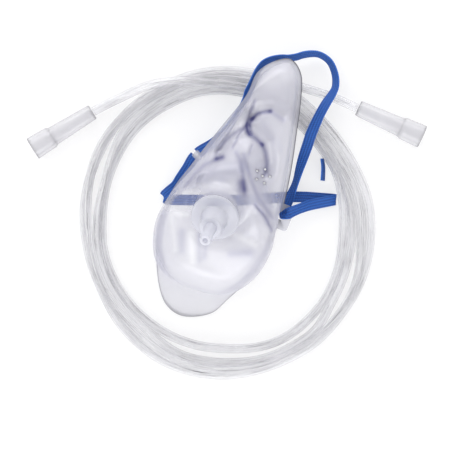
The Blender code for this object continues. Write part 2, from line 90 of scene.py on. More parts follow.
WALL_STEPS = (0.12, 0.3, 0.5, 0.7, 0.86, 1.0)
DOME_STEPS = 84
DOME_STEP_POWER = 1.25
PORT_BLEND = 0.62

# Port collar on the dome
PORT_BASE = (64.7, -5.6, 42.0)
PORT_LEAN = 30.0
COLLAR_RADIUS = 12.3
COLLAR_LENGTH = 13.0
COLLAR_FOOT = [(2.6, -1.0), (1.6, -0.3), (0.9, 0.8), (0.45, 1.7), (0.2, 2.6)]
COLLAR_RISE = (4.0, 6.5, 9.0, 11.2, 12.4)
COLLAR_LIP = 0.25
COLLAR_LIP_BELOW_END = (0.4, 0.1)

# Folds that the soft shell has taken, as (depth, half width, points on the mask)
FOLD_FADE = 6.0
FOLDS = [
    (2.6, 3.4, [(117, -9), (121, -6), (124, 1), (123, 8)]),
    (3.0, 3.6, [(115, -8), (110, -7), (108, -2), (105, 5), (97, 10), (91, 11)]),
    (2.4, 3.2, [(115, -10), (108, -14), (98, -15), (90, -16)]),
]
RIDGES = [(1.6, 2.8, [(95, -9), (88, -5), (82, 1)])]
# Fine folds shape the shell, and their creases also carry painted shade, as (depth, half width, points on the
# mask)
FINE_FOLDS = [
    (0.75, 1.2, [(114.1, -7.1), (117.7, -5.4), (121.2, 0.5)]),
    (0.4, 1.5, [(121.2, 0.5), (120.4, 4.0), (119.3, 8.6)]),
    (0.65, 1.3, [(114.1, -7.1), (110.9, -8.0), (106.5, -6.9), (105.0, -1.5), (103.1, 3.0)]),
    (0.55, 1.4, [(103.1, 3.0), (99.7, 6.4), (93.8, 9.6), (89.1, 10.7)]),
    (0.7, 1.6, [(109.8, -7.4), (106.0, -5.3)]),
    (0.5, 0.9, [(109.2, -8.8), (115.8, -9.3), (123.2, -9.4)]),
    (0.45, 1.2, [(107.5, -9.5), (102.1, -13.7), (97.2, -16.0), (90.8, -17.7)]),
    (0.9, 1.5, [(86.8, -16.3), (88.3, -14.1)]),
    (0.4, 0.8, [(95.5, -11.0), (102.8, -10.4), (106.8, -9.2)]),
    (0.35, 1.2, [(86.1, -16.6), (81.5, -21.0), (75.1, -24.1), (67.9, -26.4), (61.3, -28.5)]),
    (0.35, 1.2, [(93.7, -8.3), (89.8, -3.9), (84.0, -0.7), (79.3, 1.9), (73.5, 5.0)]),
    (0.65, 2.6, [(79.3, 0.4), (76.8, 2.3)]),
    (0.35, 1.2, [(94.0, -4.0), (87.4, 0.8), (81.1, 6.2), (75.9, 11.1), (72.5, 16.8), (69.1, 22.4)]),
    (0.55, 1.1, [(71.8, 11.4), (67.9, 18.7), (62.9, 24.7)]),
    (0.3, 0.8, [(100.7, -1.7), (95.0, -1.6)]),
    (0.12, 2.0, [(114.8, -2.0), (103.7, 12.8)]),
]

# Where the painted shade in a fold's crease sets in above the rim, and over what height
FOLD_SHADE_FROM = 2.0
FOLD_SHADE_OVER = 3.0

# Where the vinyl has painted shade, is cloudier, has painted highlights or is more see-through, as (amount,
# half width, points on the mask)
# Painted shade along the folds, round the port collar and on the dome's sides, with painted grey reflections
# on the dome
SHADED = [
    (0.15, 7.0, [(112, -13), (96, -18), (80, -25)]),
    (0.15, 7.0, [(108, -4), (98, 2), (88, 8)]),
    (0.9, 6.0, [(69, -23), (78, -14), (86, -3)]),
    (0.4, 7.0, [(90, 10), (80, 14), (72, 20)]),
    (0.3, 5.0, [(47, -33), (34, -30), (24, -24)]),
    (0.8, 2.4, [(44, -19), (35, -15.5)]),
    (0.8, 1.6, [(46, -10), (33, -5)]),
    (0.5, 2.0, [(75.5, -9), (75.5, -0.4), (70.5, 5.6), (64.8, 5.6)]),
    (0.8, 1.6, [(45, -5.5), (36, -3)]),
    (0.8, 2.5, [(43, 9), (47, 18)]),
]
CLOUDY = [
    (0.8, 13.0, [(148, -2), (120, 0), (100, 2)]),
    (0.6, 8.0, [(96, -16), (80, -24)]),
    (0.9, 6.0, [(78, 8), (70, 20)]),
    (0.5, 9.0, [(55, 10), (48, 22)]),
]
# Painted highlights: whiter patches and streaks where lamp reflections fall on the dome, chin and nose tip
PAINTED_HIGHLIGHTS = [
    (0.2, 11.0, [(30, -10), (26, 6)]),
    (0.45, 9.0, [(10, -10), (10, 8)]),
    (0.8, 2.2, [(45, -14), (31.5, -8)]),
    (0.8, 2.2, [(53.5, 3), (52.5, 19)]),
    (0.6, 1.6, [(54, -20), (51, -27.5), (34, -19)]),
    (0.4, 2.0, [(70.5, -16.5), (74, -9), (76.5, -2)]),
    (0.4, 4.0, [(135, -6), (141, 1)]),
]
OPENED = [
    (1.0, 6.0, [(57, -33), (62.5, -20)]),
    (0.5, 4.0, [(80, 20.5), (72, 22)]),
]

# Painted shade lines along the rim's edge, as (darkness, first and last station of its edge)
RIM_SHADE_LINES = [(1.0, 0, 6), (0.5, 6, 8), (0.6, 8, 14), (0.35, 14, 21), (0.8, 21, 22)]
RIM_LINE_WIDTH = 0.5
RIM_LINE_STEPS = 4

# Side tab, strap slot and vent holes
CORNER_SEGMENTS = 8
TAB_AT = (72.0, 28.6)
TAB_LENGTH = 14.0
TAB_WIDTH = 9.0
TAB_CORNER = 2.0
SLOT_AT = (73.8, 28.3)
SLOT_LENGTH = 8.2
SLOT_WIDTH = 3.6
SLOT_CORNER = 1.75
SLOT_CUT_DEPTH = 7.2
SLOT_HEADING = 38.0
VENT_AT = (87.6, 9.4)
VENT_RADIUS = 0.6
VENT_SPACING = 3.9
VENTS_ROUND = 5
VENT_SEGMENTS = 24
VENT_CUT_DEPTH = 60.0
VENT_CUT_HEIGHT = 35.0
# Painted shade round each vent: how far it reaches past the hole, and how dark it is
VENT_MARK = 0.45
VENT_SHADE = 0.6

# Inlet connector
PLUG_DEPTH = 9.0
DISC_THICK = 1.8
DISC_LIP = 0.1
PLUG_WALL = 1.6
PLUG_TAPER = 0.3
DISC_CHAMFER = 0.5
HUB_CHAMFER = 0.6
HUB_FILLET = 0.5
HUB_LENGTH = 11.0
HUB_RADII = (6.8, 6.0)
NIPPLE_LENGTH = 13.0
NIPPLE_RADIUS = 3.4
NIPPLE_TIP_RADIUS = 2.7
NIPPLE_BORE_RADIUS = 1.4
BARB_LENGTH = 3.5
BARB_SHOULDER = 0.5
TURNED_SEGMENTS = 96
SMOOTH_TURNED_UNDER = 35.0

# Elastic strap: x, y, height, the way its width points, and how far that side dips
STRAP_WIDTH = 6.0
STRAP_THICK = 0.9
STRAP_STEPS = 5
STRAP_EDGE = 0.25
STRAP_EDGE_STEPS = 3
STRAP_RIBS = 4
STRAP_RIB_DEPTH = 0.22
STRAP_SECTION_POINTS = 120
STITCH = 1.1
STRAP_ROUTE = [
    (-27.8, 15.6, 5.0, -42, 0), (-29.6, 13.4, 4.8, -41, 3), (-31.9, 9.2, 4.4, -40, 10),
    (-35.9, 3.5, 3.7, -38, 25), (-38.8, -0.8, 3.5, -46, 30), (-42.2, -4.0, 3.4, -62, 4),
    (-44.9, -6.6, 2.6, -74, 0), (-43.6, -8.0, 1.3, -84, 0), (-39.0, -8.5, 0.8, -89, 0),
    (-25.2, -8.7, 0.8, -90, 0), (-11.3, -8.9, 0.8, -90, 0), (2.6, -8.4, 0.8, -88, 0),
    (16.5, -7.4, 0.8, -88, 0), (30.4, -6.9, 0.8, -90, 0), (43.0, -7.7, 0.8, -93, 0),
    (48.0, -8.1, 1.0, -94, 0), (49.8, -8.5, 2.1, -95, 0), (48.0, -8.9, 3.3, -97, 0),
    (41.6, -10.2, 4.2, -100, 0), (35.9, -11.4, 5.4, -103, 0), (31.8, -12.7, 7.6, -106, 3),
    (28.4, -14.0, 9.8, -109, 5), (25.4, -15.2, 10.9, -113, 5), (22.9, -16.5, 10.7, -122, 5),
    (21.5, -17.0, 9.4, -138, 3), (21.2, -16.8, 7.9, -142, 0), (21.4, -15.5, 6.4, -152, 0),
    (22.2, -12.0, 5.7, -176, 8), (24.3, -7.3, 5.6, -188, 32),
    (26.1, -3.0, 6.2, -192, 54), (27.8, 1.8, 7.0, -194, 60), (29.4, 7.6, 8.0, -196, 48),
    (31.4, 14.1, 9.2, -197, 28), (33.7, 20.9, 10.6, -197, 10), (35.8, 27.4, 11.6, -199, 10),
    (39.7, 36.3, 11.9, -206, 30), (43.7, 43.7, 11.6, -212, 36), (47.5, 49.6, 10.2, -206, 50),
    (49.2, 53.6, 8.6, -194, 60), (49.5, 58.4, 6.6, -180, 63), (48.5, 63.2, 5.4, -164, 65),
    (46.6, 67.2, 4.8, -146, 67), (43.9, 69.8, 4.5, -126, 68), (40.3, 71.6, 4.5, -108, 68),
    (36.2, 71.9, 4.8, -92, 64), (31.7, 71.2, 5.4, -84, 62), (28.1, 70.0, 6.2, -80, 62),
    (23.3, 69.2, 7.6, -84, 66), (18.9, 69.0, 9.2, -84, 66), (14.1, 67.8, 10.8, -72, 62),
    (10.0, 65.6, 12.0, -54, 57), (7.1, 62.4, 12.7, -42, 60), (5.0, 58.6, 12.8, -32, 62),
    (3.2, 53.8, 12.6, -26, 52), (2.1, 50.5, 11.9, -26, 34), (1.0, 47.3, 10.4, -28, 44),
    (-1.5, 42.6, 8.8, -34, 56), (-4.9, 37.6, 7.6, -36, 60), (-8.6, 32.4, 6.8, -38, 55),
    (-12.8, 26.8, 6.2, -42, 36), (-17.8, 22.4, 5.7, -50, 12), (-22.6, 19.6, 5.2, -52, 0),
    (-24.8, 18.3, 5.1, -48, 0), (-26.3, 17.1, 5.0, -43, 0),
]
STRAP_END_ROUTE = [(42.4, 14.2, 3.1, 4, 72), (43.0, 9.0, 3.1, 0, 70), (42.7, 2.0, 3.1, -4, 68)]
CLIP_LENGTH = 4.4
CLIP_WIDTH = 3.0
CLIP_PLATE = 0.6
CLIP_WEB = 0.5
CLIP_CORNER = 0.5
CLIP_EDGE = 0.15
CLIP_EDGE_STEPS = 3
# Its edges that turn by more than this, in radians, get that soft edge
CLIP_EDGE_TURN = 1.2

# Supply tubing: its coil is wound from the inside out, over its own first end
TUBE_RADIUS = 2.5
TUBE_BORE_RADIUS = 1.6
TUBE_GAP = 0.08
TUBE_SEGMENTS = 20
TUBE_STEPS = 2
TUBE_EASING = 4
TUBE_STREAK_LENGTH = 160.0
COIL_CENTRE = (-10.2, -21.1)
COIL_STEP = 5
COIL_TURNS = 4
TAIL_LEFT = [(-83.8, 40.2, 4.4), (-78.0, 43.5, 3.7), (-72.4, 46.4, 2.9), (-66.8, 48.9, 2.6)]
TAIL_RIGHT = [(48.4, 48.0, 4.1), (54.6, 45.2, 4.2), (61.5, 42.0, 4.3)]
ARRIVAL = [(324, 88.4), (330, 86.9), (336, 84.0), (343, 80.8), (349, 78.2), (354, 76.6), (360, 76.0)]
LEAVING = [(0, 84.2), (15, 84.2), (29, 85.3), (36, 88.6)]
# Each row is an angle from the nose end and the four turns' distances from the coil's centre
TURNS = [
    (0, 76.0, 73.4, 78.7, 81.5), (6, 75.6, 72.6, 77.8, 81.4), (15, 74.0, 71.5, 76.5, 80.3),
    (29, 71.5, 69.0, 74.0, 79.1), (36, 70.4, 67.9, 72.9, 77.9), (45, 68.4, 66.8, 71.8, 76.8),
    (55, 67.1, 66.4, 71.4, 76.4), (65, 66.0, 66.8, 71.7, 76.6), (75, 65.2, 68.3, 73.2, 78.1),
    (84, 64.6, 69.2, 74.3, 79.2), (90, 64.3, 69.3, 74.4, 79.4), (98, 64.6, 69.7, 74.9, 80.2),
    (106, 65.8, 69.8, 76.2, 80.6), (112, 66.8, 70.4, 78.1, 80.9), (120, 67.7, 71.5, 79.2, 81.1),
    (128, 69.0, 72.3, 79.8, 80.9), (134, 69.6, 74.6, 80.0, 81.4), (139, 69.8, 77.2, 80.0, 82.3),
    (146, 70.8, 77.4, 80.0, 82.5), (155, 71.5, 77.6, 80.3, 82.6), (165, 71.2, 78.1, 80.6, 83.2),
    (180, 69.8, 77.7, 81.1, 84.5), (190, 70.0, 77.7, 81.1, 84.7), (201, 70.1, 77.6, 81.0, 84.8),
    (208, 70.1, 75.9, 80.3, 84.3), (214, 70.1, 74.2, 79.5, 83.4), (228, 70.2, 73.2, 78.3, 81.5),
    (240, 70.2, 72.9, 77.9, 79.0), (250, 70.3, 72.7, 77.4, 78.6), (260, 70.0, 72.2, 76.8, 78.6),
    (267, 69.3, 71.7, 76.7, 78.9), (275, 69.1, 71.0, 77.3, 79.4), (288, 70.0, 70.3, 79.2, 80.0),
    (300, 70.9, 72.7, 81.0, 80.4), (310, 72.0, 75.9, 81.4, 81.7), (320, 72.9, 77.3, 81.4, 82.5),
    (330, 73.1, 77.9, 80.6, 83.0), (336, 73.1, 78.2, 80.8, 83.2), (343, 73.7, 78.7, 81.1, 83.7),
    (349, 74.0, 79.0, 81.5, 84.1), (360, 73.4, 78.7, 81.5, 84.2),
]
# The order in which the turns lie on each other before and after the side where all lie flat
LIE_FIRST = ("turn 2", "turn 3", "leaving", "turn 4", "turn 1")
LIE_LATER = ("turn 1", "turn 4", "turn 2", "turn 3", "arrival")
FLAT_ANGLE = 90

# End connectors: (distance from the tube's end, radius)
CONNECTOR_OUTSIDE = [
    (0.0, 3.9), (0.7, 4.3), (1.7, 4.34), (24.4, 5.16), (25.4, 5.2), (26.0, 5.4), (27.2, 6.0), (28.2, 6.03),
    (37.2, 6.32), (38.2, 6.35), (38.6, 6.2),
]
# Painted shade lines round it at its ends and its step, as (distance from the tube's end, darkness)
CONNECTOR_SHADE_RINGS = [(0.3, 0.5), (26.0, 0.4), (38.6, 0.5)]
CONNECTOR_RING_WIDTH = 0.7
CONNECTOR_SEGMENTS = 64
CONNECTOR_BORE = [(0.0, 2.2), (1.7, 2.2), (14.0, 2.2), (22.0, 3.4), (30.0, 4.3), (37.2, 4.63), (38.6, 4.7)]
CONNECTOR_LEFT = {"tube_end": (-84.3, 39.9), "heading": 212.0}
CONNECTOR_RIGHT = {"tube_end": (62.1, 42.0), "heading": -24.5}

# Colours
VINYL_LIGHT = (0.74, 0.735, 0.795)
VINYL_EDGE = (0.50, 0.495, 0.56)
# Painted shade colour
VINYL_SHADE = (0.46, 0.46, 0.58)
# Painted highlight colour
VINYL_HIGHLIGHT = (0.92, 0.92, 0.93)
# Painted shade colour of the rim's edge and the vents
VINYL_RIM_SHADE = (0.03, 0.03, 0.045)
# Painted shade colour of the fold creases
VINYL_FOLD_SHADE = (0.09, 0.09, 0.27)
FROSTED = (0.73, 0.735, 0.79)
FROSTED_EDGE = (0.50, 0.50, 0.57)
CONNECTOR_LIGHT = (0.74, 0.735, 0.76)
CONNECTOR_EDGE = (0.05, 0.05, 0.06)
TUBE_LIGHT = (0.95, 0.945, 0.965)
TUBE_EDGE = (0.60, 0.595, 0.62)
# Painted shade and painted highlight colours of the tubing's streaks
TUBE_STREAK_SHADE = (0.08, 0.08, 0.09)
TUBE_HIGHLIGHT = (0.95, 0.95, 0.95)
STRAP_DEEP = (0.002, 0.018, 0.13)
STRAP_BRIGHT = (0.010, 0.125, 0.52)
CLIP_WHITE = (0.82, 0.82, 0.84)

# Clear plastic, with THINNEST and THICKEST as the share that isn't see-through
CLEAR = (0.97, 0.97, 0.975)
PLASTIC_IOR = 1.5
CLOUD_SCALE = 55.0
CLOUD_DEPTH = 0.12
THINNEST = 0.02
THICKEST = 0.97
RIPPLE_SCALE = 70.0
LIT_FROM_BEHIND = 0.45
MIRROR_FACING = 0.04
MIRROR_RISE = 0.15
MIRROR_POWER = 5.0
STREAK_SCALE = 7.0

# Elastic braid
STITCH_SHARE = 0.45
FUZZ_SCALE = 900.0
WEAVE_SHADE = 0.75
FUZZ_SHADE = 0.3

# Camera, floor and lamps, with each lamp as (name, place, size, power)
CAMERA_PLACE = (-0.0113, -0.0225, 0.694)
FLOOR_HALF = 3.0
FLOOR_DROP = 0.0003
FLOOR_PAPER = (0.93, 0.93, 0.94)
FLOOR_GLOW = 0.6
WORLD_WHITE = (0.87, 0.87, 0.875)
LAMP_AIM = (0, 0, 0.02)
LAMPS = [
    ("softbox above", (-0.1, 1.1, 0.55), (1.6, 0.7), 9.0),
    ("softbox below", (0.0, -1.1, 0.5), (1.6, 0.7), 9.0),
    ("softbox left", (-0.7, 0.1, 0.9), (0.3, 0.7), 1.5),
]


def eased(before, start, end, after, share):
    """The point at that share of the way from start to end on a smooth curve through all four."""
    square = share * share
    cube = square * share
    return tuple(
        0.5 * (
            2 * b + (c - a) * share + (2 * a - 5 * b + 4 * c - d) * square + (3 * b - a - 3 * c + d) * cube
        )
        for a, b, c, d in zip(before, start, end, after)
    )


def smooth_loop(points, steps):
    count = len(points)
    return [
        eased(points[i - 1], points[i], points[(i + 1) % count], points[(i + 2) % count], step / steps)
        for i in range(count)
        for step in range(steps)
    ]


def smooth_path(points, steps):
    last = len(points) - 1
    path = [
        eased(points[max(i - 1, 0)], points[i], points[i + 1], points[min(i + 2, last)], step / steps)
        for i in range(last)
        for step in range(steps)
    ]
    return path + [tuple(points[last])]


def level(knots, at):
    """The height that a smooth profile through the knots has there."""
    if at <= knots[0][0]:
        return knots[0][1]
    for (x0, y0), (x1, y1) in zip(knots, knots[1:]):
        if at <= x1:
            share = (at - x0) / (x1 - x0)
            return y0 + (y1 - y0) * share * share * (3 - 2 * share)
    return knots[-1][1]


def flowing(knots, at):
    """Like level, but it doesn't rest at each knot."""
    last = len(knots) - 1
    for i in range(last):
        if at <= knots[i + 1][0]:
            slopes = []
            for j in (i, i + 1):
                low, high = knots[max(j - 1, 0)], knots[min(j + 1, last)]
                slopes.append((high[1] - low[1]) / (high[0] - low[0]))
            run = knots[i + 1][0] - knots[i][0]
            share = (at - knots[i][0]) / run
            square, cube = share * share, share**3
            return (
                knots[i][1] * (2 * cube - 3 * square + 1)
                + slopes[0] * run * (cube - 2 * square + share)
                + knots[i + 1][1] * (3 * square - 2 * cube)
                + slopes[1] * run * (cube - square)
            )
    return knots[last][1]


# Camera, floor and light

def set_camera():
    data = bpy.data.cameras.new("from above")
    data.lens = 100.0
    data.sensor_width = 36.0
    camera = bpy.data.objects.new("from above", data)
    camera.location = CAMERA_PLACE
    bpy.context.scene.collection.objects.link(camera)
    bpy.context.scene.camera = camera


def set_floor():
    mesh = bpy.data.meshes.new("floor")
    corners = [(x * FLOOR_HALF, y * FLOOR_HALF, 0) for x, y in ((-1, -1), (1, -1), (1, 1), (-1, 1))]
    mesh.from_pydata(corners, [], [(0, 1, 2, 3)])
    floor = bpy.data.objects.new("floor", mesh)
    floor.location.z = -FLOOR_DROP
    bpy.context.scene.collection.objects.link(floor)
    made, tree = finish("white table")
    paper = add(tree, "ShaderNodeBsdfDiffuse", Color=FLOOR_PAPER).outputs[0]
    glow = add(tree, "ShaderNodeEmission", Strength=1.0).outputs[0]
    seen = add(tree, "ShaderNodeLightPath").outputs["Is Camera Ray"]
    both = blend_shaders(tree, sums(tree, "MULTIPLY", seen, FLOOR_GLOW), paper, glow)
    add(tree, "ShaderNodeOutputMaterial", Surface=both)
    mesh.materials.append(made)


def set_light():
    world = bpy.data.worlds.new("studio")
    world.use_nodes = True
    background = world.node_tree.nodes["Background"]
    background.inputs["Color"].default_value = (*WORLD_WHITE, 1.0)
    background.inputs["Strength"].default_value = 1.0
    bpy.context.scene.world = world
    for name, place, size, power in LAMPS:
        data = bpy.data.lights.new(name, "AREA")
        data.shape = "RECTANGLE"
        data.size, data.size_y = size
        data.energy = power
        light = bpy.data.objects.new(name, data)
        light.location = place
        light.rotation_euler = (Vector(LAMP_AIM) - Vector(place)).to_track_quat("-Z", "Y").to_euler()
        bpy.context.scene.collection.objects.link(light)


# Finishes

def finish(name):
    made = bpy.data.materials.new(name)
    made.use_nodes = True
    made.node_tree.nodes.clear()
    return made, made.node_tree


def feed(tree, socket, value):
    """Links a socket to what feeds it, or sets its value."""
    if isinstance(value, bpy.types.NodeSocket):
        tree.links.new(value, socket)
    elif socket.type == "RGBA":
        socket.default_value = (*value, 1.0)
    else:
        socket.default_value = value


def add(tree, kind, settings=(), **inputs):
    """Adds a node, with its settings and with its inputs by name."""
    node = tree.nodes.new(kind)
    for key, value in dict(settings).items():
        setattr(node, key, value)
    for key, value in inputs.items():
        feed(tree, node.inputs[key.replace("_", " ")], value)
    return node


def sums(tree, operation, *values):
    node = add(tree, "ShaderNodeMath", {"operation": operation})
    for socket, value in zip(node.inputs, values):
        feed(tree, socket, value)
    return node.outputs[0]


def blend_colours(tree, share, first, second):
    mix = add(tree, "ShaderNodeMix", {"data_type": "RGBA"}, Factor=share, A=first, B=second)
    return mix.outputs["Result"]


def blend_shaders(tree, share, first, second):
    node = tree.nodes.new("ShaderNodeMixShader")
    for socket, value in zip(node.inputs, (share, first, second)):
        feed(tree, socket, value)
    return node.outputs[0]


def attribute(name):
    """A mark's source that reads the piece's own attribute."""
    return lambda tree: add(tree, "ShaderNodeAttribute", {"attribute_name": name}).outputs["Fac"]


def streaks(low, high, shift):
    """A mark's source that draws streaks out along the tubing, for its painted shade and painted highlight
    lines.
    """
    def source(tree):
        wound = add(tree, "ShaderNodeAttribute", {"attribute_name": "wound"}).outputs["Vector"]
        moved = add(tree, "ShaderNodeMapping", Vector=wound, Location=(shift, shift, 0.0)).outputs[0]
        noise = add(tree, "ShaderNodeTexNoise", Vector=moved, Scale=STREAK_SCALE, Detail=1.0).outputs["Fac"]
        return add(tree, "ShaderNodeMapRange", Value=noise, From_Min=low, From_Max=high).outputs["Result"]
    return source


def clear_finish(name, light, dark, openness, edge_share, edge_power, roughness, marks=()):
    """Clear plastic: see-through where it faces the eye, less see-through and darker where it turns away.

    Each mark is (its source, the colour it turns to or None, how much less see-through it is).
    """
    made, tree = finish(name)
    facing = add(tree, "ShaderNodeLayerWeight", Blend=0.5).outputs["Facing"]
    turned_away = sums(tree, "POWER", facing, edge_power)
    place = add(tree, "ShaderNodeTexCoord").outputs["Object"]
    cloud = add(tree, "ShaderNodeTexNoise", Vector=place, Scale=CLOUD_SCALE, Detail=2.0).outputs["Fac"]
    colour = blend_colours(tree, turned_away, light, dark)
    body = sums(tree, "MULTIPLY_ADD", turned_away, edge_share, 1.0 - openness)
    body = sums(tree, "MULTIPLY_ADD", sums(tree, "SUBTRACT", cloud, 0.5), CLOUD_DEPTH, body)
    for source, tint, thicker in marks:
        amount = source(tree)
        if tint:
            colour = blend_colours(tree, amount, colour, tint)
        body = sums(tree, "MULTIPLY_ADD", amount, thicker, body)
    body = sums(tree, "MINIMUM", sums(tree, "MAXIMUM", body, THINNEST), THICKEST)
    ripple = add(tree, "ShaderNodeTexNoise", Vector=place, Scale=RIPPLE_SCALE, Detail=1.0).outputs["Fac"]
    bump = add(tree, "ShaderNodeBump", Height=ripple, Strength=0.06, Distance=0.0006).outputs["Normal"]
    surface = {"Roughness": roughness, "Normal": bump}
    milk = add(tree, "ShaderNodeBsdfPrincipled", Base_Color=colour, IOR=PLASTIC_IOR, **surface).outputs[0]
    through = add(tree, "ShaderNodeBsdfTransparent", Color=CLEAR).outputs[0]
    lit = add(tree, "ShaderNodeBsdfTranslucent", Color=colour, Normal=bump).outputs[0]
    cloudy = blend_shaders(tree, LIT_FROM_BEHIND, milk, lit)
    wall = blend_shaders(tree, body, through, cloudy)
    shine = add(tree, "ShaderNodeBsdfGlossy", Color=(1.0, 1.0, 1.0), **surface).outputs[0]
    glancing = sums(tree, "POWER", facing, MIRROR_POWER)
    mirror = sums(tree, "MULTIPLY_ADD", glancing, MIRROR_RISE, MIRROR_FACING)
    add(tree, "ShaderNodeOutputMaterial", Surface=blend_shaders(tree, mirror, wall, shine))
    return made


def tubing_finish():
    return clear_finish(
        "clear tubing", TUBE_LIGHT, TUBE_EDGE, openness=0.86, edge_share=0.4, edge_power=2.0, roughness=0.2,
        # Painted shade lines and painted highlight streaks along the tube
        marks=[(streaks(0.65, 0.69, 0.0), TUBE_STREAK_SHADE, 0.4), (streaks(0.62, 0.68, 7.0), TUBE_HIGHLIGHT, 0.4)],
    )


def end_connector_finish():
    return clear_finish(
        "clear connectors", CONNECTOR_LIGHT, CONNECTOR_EDGE, openness=0.6, edge_share=0.6, edge_power=5.0,
        # Painted shade lines round the connector
        roughness=0.2, marks=[(attribute("painted_edge_shade"), CONNECTOR_EDGE, 0.5)],
    )


def clip_finish():
    return clear_finish(
        "clear moulded clip", CLIP_WHITE, FROSTED_EDGE, openness=0.65, edge_share=0.3, edge_power=4.0,
        roughness=0.3,
    )


def frosted_finish():
    return clear_finish(
        "frosted vinyl", FROSTED, FROSTED_EDGE, openness=0.34, edge_share=0.2, edge_power=3.0, roughness=0.35,
    )


def vinyl_finish():
    return clear_finish(
        "clear soft vinyl", VINYL_LIGHT, VINYL_EDGE, openness=0.68, edge_share=0.3, edge_power=9.0,
        roughness=0.28,
        # Marks: cloudiness, painted shade, painted highlights, see-through places, painted shade at the rim's
        # edge and vents, and painted shade in the fold creases
        marks=[
            (attribute("cloudy"), None, 0.35),
            (attribute("shaded"), VINYL_SHADE, 0.12),
            (attribute("painted_highlight"), VINYL_HIGHLIGHT, 0.15),
            (attribute("opened"), None, -0.26),
            (attribute("painted_edge_shade"), VINYL_RIM_SHADE, 0.6),
            (attribute("painted_fold_shade"), VINYL_FOLD_SHADE, 0.6),
        ],
    )


def strap_finish():
    """Blue elastic braid: ribs along the strap, crossed by fine stitches."""
    made, tree = finish("blue elastic braid")
    run = attribute("run")(tree)
    across = attribute("across")(tree)
    rib_turns = sums(tree, "MULTIPLY", across, 2 * math.pi * STRAP_RIBS / (STRAP_WIDTH * MM))
    ribs = sums(tree, "MULTIPLY_ADD", sums(tree, "COSINE", rib_turns), 0.5, 0.5)
    stitch_turns = sums(tree, "MULTIPLY", run, 2 * math.pi / (STITCH * MM))
    slanted = sums(tree, "MULTIPLY_ADD", rib_turns, 0.5, stitch_turns)
    stitches = sums(tree, "MULTIPLY_ADD", sums(tree, "SINE", slanted), 0.5, 0.5)
    rib_part = sums(tree, "MULTIPLY", ribs, 1.0 - STITCH_SHARE)
    weave = sums(tree, "MULTIPLY_ADD", stitches, STITCH_SHARE, rib_part)
    place = add(tree, "ShaderNodeTexCoord").outputs["Object"]
    fuzz = add(tree, "ShaderNodeTexNoise", Vector=place, Scale=FUZZ_SCALE, Detail=3.0).outputs["Fac"]
    shade = sums(tree, "MULTIPLY_ADD", weave, WEAVE_SHADE, sums(tree, "MULTIPLY", fuzz, FUZZ_SHADE))
    colour = blend_colours(tree, shade, STRAP_DEEP, STRAP_BRIGHT)
    bump = add(tree, "ShaderNodeBump", Height=weave, Strength=0.6, Distance=0.0002).outputs["Normal"]
    cloth = add(
        tree,
        "ShaderNodeBsdfPrincipled",
        Base_Color=colour,
        Roughness=0.6,
        Normal=bump,
        Sheen_Weight=0.05,
        Sheen_Roughness=0.4,
        Sheen_Tint=(0.3, 0.5, 1.0),
    ).outputs[0]
    add(tree, "ShaderNodeOutputMaterial", Surface=cloth)
    return made


# Mesh helpers

def new_piece(name, mesh, material=None, smooth_under=SMOOTH_UNDER):
    piece = bpy.data.objects.new(name, mesh)
    bpy.context.scene.collection.objects.link(piece)
    if material:
        mesh.materials.append(material)
    mesh.shade_smooth()
    mesh.set_sharp_from_angle(angle=math.radians(smooth_under))
    return piece


def settled(piece, material, smooth_under=SMOOTH_UNDER):
    """The piece with its modifiers applied and its place moved into its mesh."""
    bpy.context.view_layer.update()
    mesh = bpy.data.meshes.new_from_object(piece.evaluated_get(bpy.context.evaluated_depsgraph_get()))
    mesh.transform(piece.matrix_world)
    mesh.materials.clear()
    name = piece.name
    bpy.data.objects.remove(piece)
    return new_piece(name, mesh, material, smooth_under)


def ringed_mesh(name, rings, closed=False):
    """Skins rings of points in millimetres. A closed one goes on from the last ring to the first."""
    mesh = bpy.data.meshes.new(name)
    bm = bmesh.new()
    made = [[bm.verts.new(Vector(point) * MM) for point in ring] for ring in rings]
    for here, after in zip(made, made[1:] + made[:1] if closed else made[1:]):
        for j in range(len(here)):
            k = (j + 1) % len(here)
            bm.faces.new((here[j], here[k], after[k], after[j]))
    if closed:
        bm.normal_update()
        bmesh.ops.recalc_face_normals(bm, faces=bm.faces)
    bm.to_mesh(mesh)
    bm.free()
    return mesh


def boolean(piece, other, operation):
    modifier = piece.modifiers.new(operation.lower(), "BOOLEAN")
    modifier.operation = operation
    modifier.object = other


def box(name, size):
    mesh = bpy.data.meshes.new(name)
    bm = bmesh.new()
    bmesh.ops.create_cube(bm, size=1.0)
    bmesh.ops.scale(bm, vec=Vector(size) * MM, verts=bm.verts)
    bm.to_mesh(mesh)
    bm.free()
    return new_piece(name, mesh)


def geometry_tree(name, sizes):
    """A geometry tree with a named input for each size, and the sockets that it reads and ends in."""
    tree = bpy.data.node_groups.new(name, "GeometryNodeTree")
    tree.interface.new_socket("Geometry", in_out="INPUT", socket_type="NodeSocketGeometry")
    for label, value in sizes.items():
        kind = "NodeSocketInt" if isinstance(value, int) else "NodeSocketFloat"
        tree.interface.new_socket(label, in_out="INPUT", socket_type=kind)
    tree.interface.new_socket("Geometry", in_out="OUTPUT", socket_type="NodeSocketGeometry")
    return tree, tree.nodes.new("NodeGroupInput").outputs, tree.nodes.new("NodeGroupOutput").inputs[0]


def grow(piece, tree, sizes):
    """Puts a geometry tree on a piece and sets its sizes."""
    modifier = piece.modifiers.new(tree.name, "NODES")
    modifier.node_group = tree
    for item in tree.interface.items_tree:
        if item.in_out == "INPUT" and item.name in sizes:
            modifier[item.identifier] = sizes[item.name]


def bevel_edges(bm, edges, reach, segments):
    bmesh.ops.bevel(bm, geom=edges, offset=reach * MM, segments=segments, profile=0.5, affect="EDGES")


